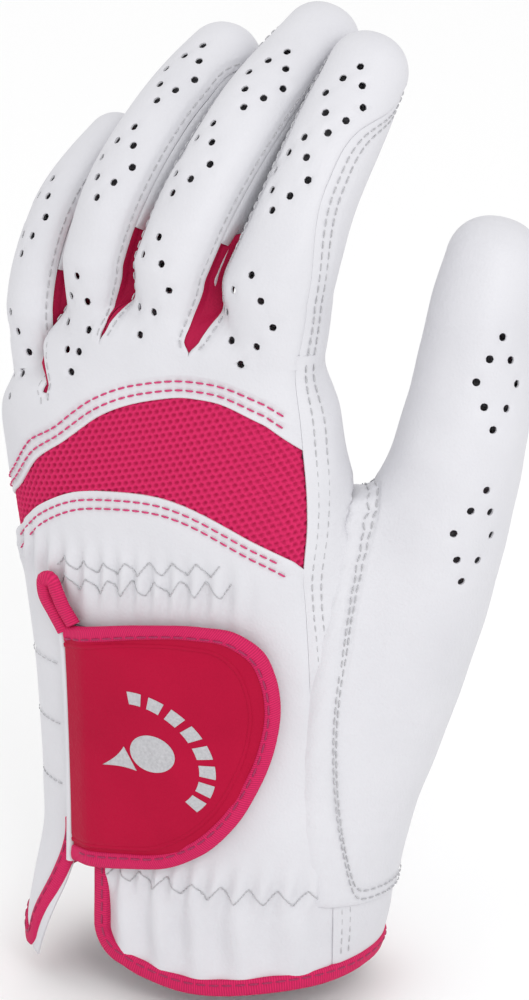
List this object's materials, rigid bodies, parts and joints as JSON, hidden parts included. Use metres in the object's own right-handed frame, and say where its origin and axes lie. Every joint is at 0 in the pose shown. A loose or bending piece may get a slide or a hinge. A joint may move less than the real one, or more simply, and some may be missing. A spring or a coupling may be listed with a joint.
{
  "type": "golf glove",
  "caption": "Left-hand golf glove with a mesh knuckle insert, bound wrist slit and a lifting closure tab on the back; fingers and thumb bend at their roots.",
  "frame": {"origin": "middle of the wrist opening", "axes": "+X to the thumb side, +Y to the palm side, +Z from the wrist towards the fingertips"},
  "size_m": [0.1118, 0.0618, 0.2101],
  "materials": {
    "white_leather": "smooth synthetic leather",
    "wall_leather": "smooth synthetic leather",
    "mesh_knit": "dimpled mesh knit",
    "gusset_knit": "fine stretch knit",
    "binding_tape": "ribbed folded tape",
    "tab_leather": "satin synthetic leather",
    "white_elastic": "woven elastic",
    "hook_plastic": "moulded hooks",
    "loop_pile": "loop pile",
    "silver_print": "raised metallic print"
  },
  "bodies": {
    "palm": {"palm_panel": "white_leather", "upper_back_panel": "white_leather", "knuckle_insert": "mesh_knit", "lower_back_panel": "white_leather", "cuff_band": "white_leather", "ulnar_panel": "white_leather", "slit_binding": "binding_tape", "cuff_binding": "binding_tape", "upper_elastic": "white_elastic", "lower_elastic": "white_elastic", "loop_patch": "loop_pile", "gusset_little_ring": "gusset_knit", "gusset_ring_middle": "gusset_knit", "gusset_middle_index": "gusset_knit", "thumb_base": "white_leather"},
    "tab": {"tab_panel": "tab_leather", "tab_binding": "binding_tape", "hook_patch": "hook_plastic", "tab_emblem": "silver_print"},
    "index": {"index_back": "white_leather", "index_front": "white_leather", "index_wall_to_middle": "wall_leather"},
    "middle": {"middle_back": "white_leather", "middle_front": "white_leather", "middle_wall_to_index": "wall_leather", "middle_wall_to_ring": "wall_leather"},
    "ring": {"ring_back": "white_leather", "ring_front": "white_leather", "ring_wall_to_middle": "wall_leather", "ring_wall_to_little": "wall_leather"},
    "little": {"little_back": "white_leather", "little_front": "white_leather", "little_wall_to_ring": "wall_leather"},
    "thumb": {"thumb_panel": "white_leather", "thumb_seam_strip": "white_leather"}
  },
  "joints": [
    {"name": "tab_lift", "type": "hinge", "parent": "palm", "child": "tab", "pos_m": [-0.02128, -0.02406, 0.0445], "axis": [0.0225, 0.0103, -0.9997], "range_deg": [0, 150]},
    {"name": "index_bend", "type": "hinge", "parent": "palm", "child": "index", "pos_m": [0.02046, 0.00194, 0.14696], "axis": [-0.9594, 0.1584, 0.2333], "range_deg": [-5, 50]},
    {"name": "middle_bend", "type": "hinge", "parent": "palm", "child": "middle", "pos_m": [0.00146, -0.00318, 0.14819], "axis": [-0.9791, 0.1177, 0.1659], "range_deg": [-5, 50]},
    {"name": "ring_bend", "type": "hinge", "parent": "palm", "child": "ring", "pos_m": [-0.01419, -0.00142, 0.14601], "axis": [-0.9696, 0.1988, 0.1424], "range_deg": [-5, 50]},
    {"name": "little_bend", "type": "hinge", "parent": "palm", "child": "little", "pos_m": [-0.0285, 0.00104, 0.13378], "axis": [-0.9933, 0.0916, 0.0708], "range_deg": [-5, 50]},
    {"name": "thumb_bend", "type": "hinge", "parent": "palm", "child": "thumb", "pos_m": [0.0417, 0.0243, 0.1015], "axis": [-0.8037, -0.5525, 0.221], "range_deg": [-3, 25]}
  ]
}
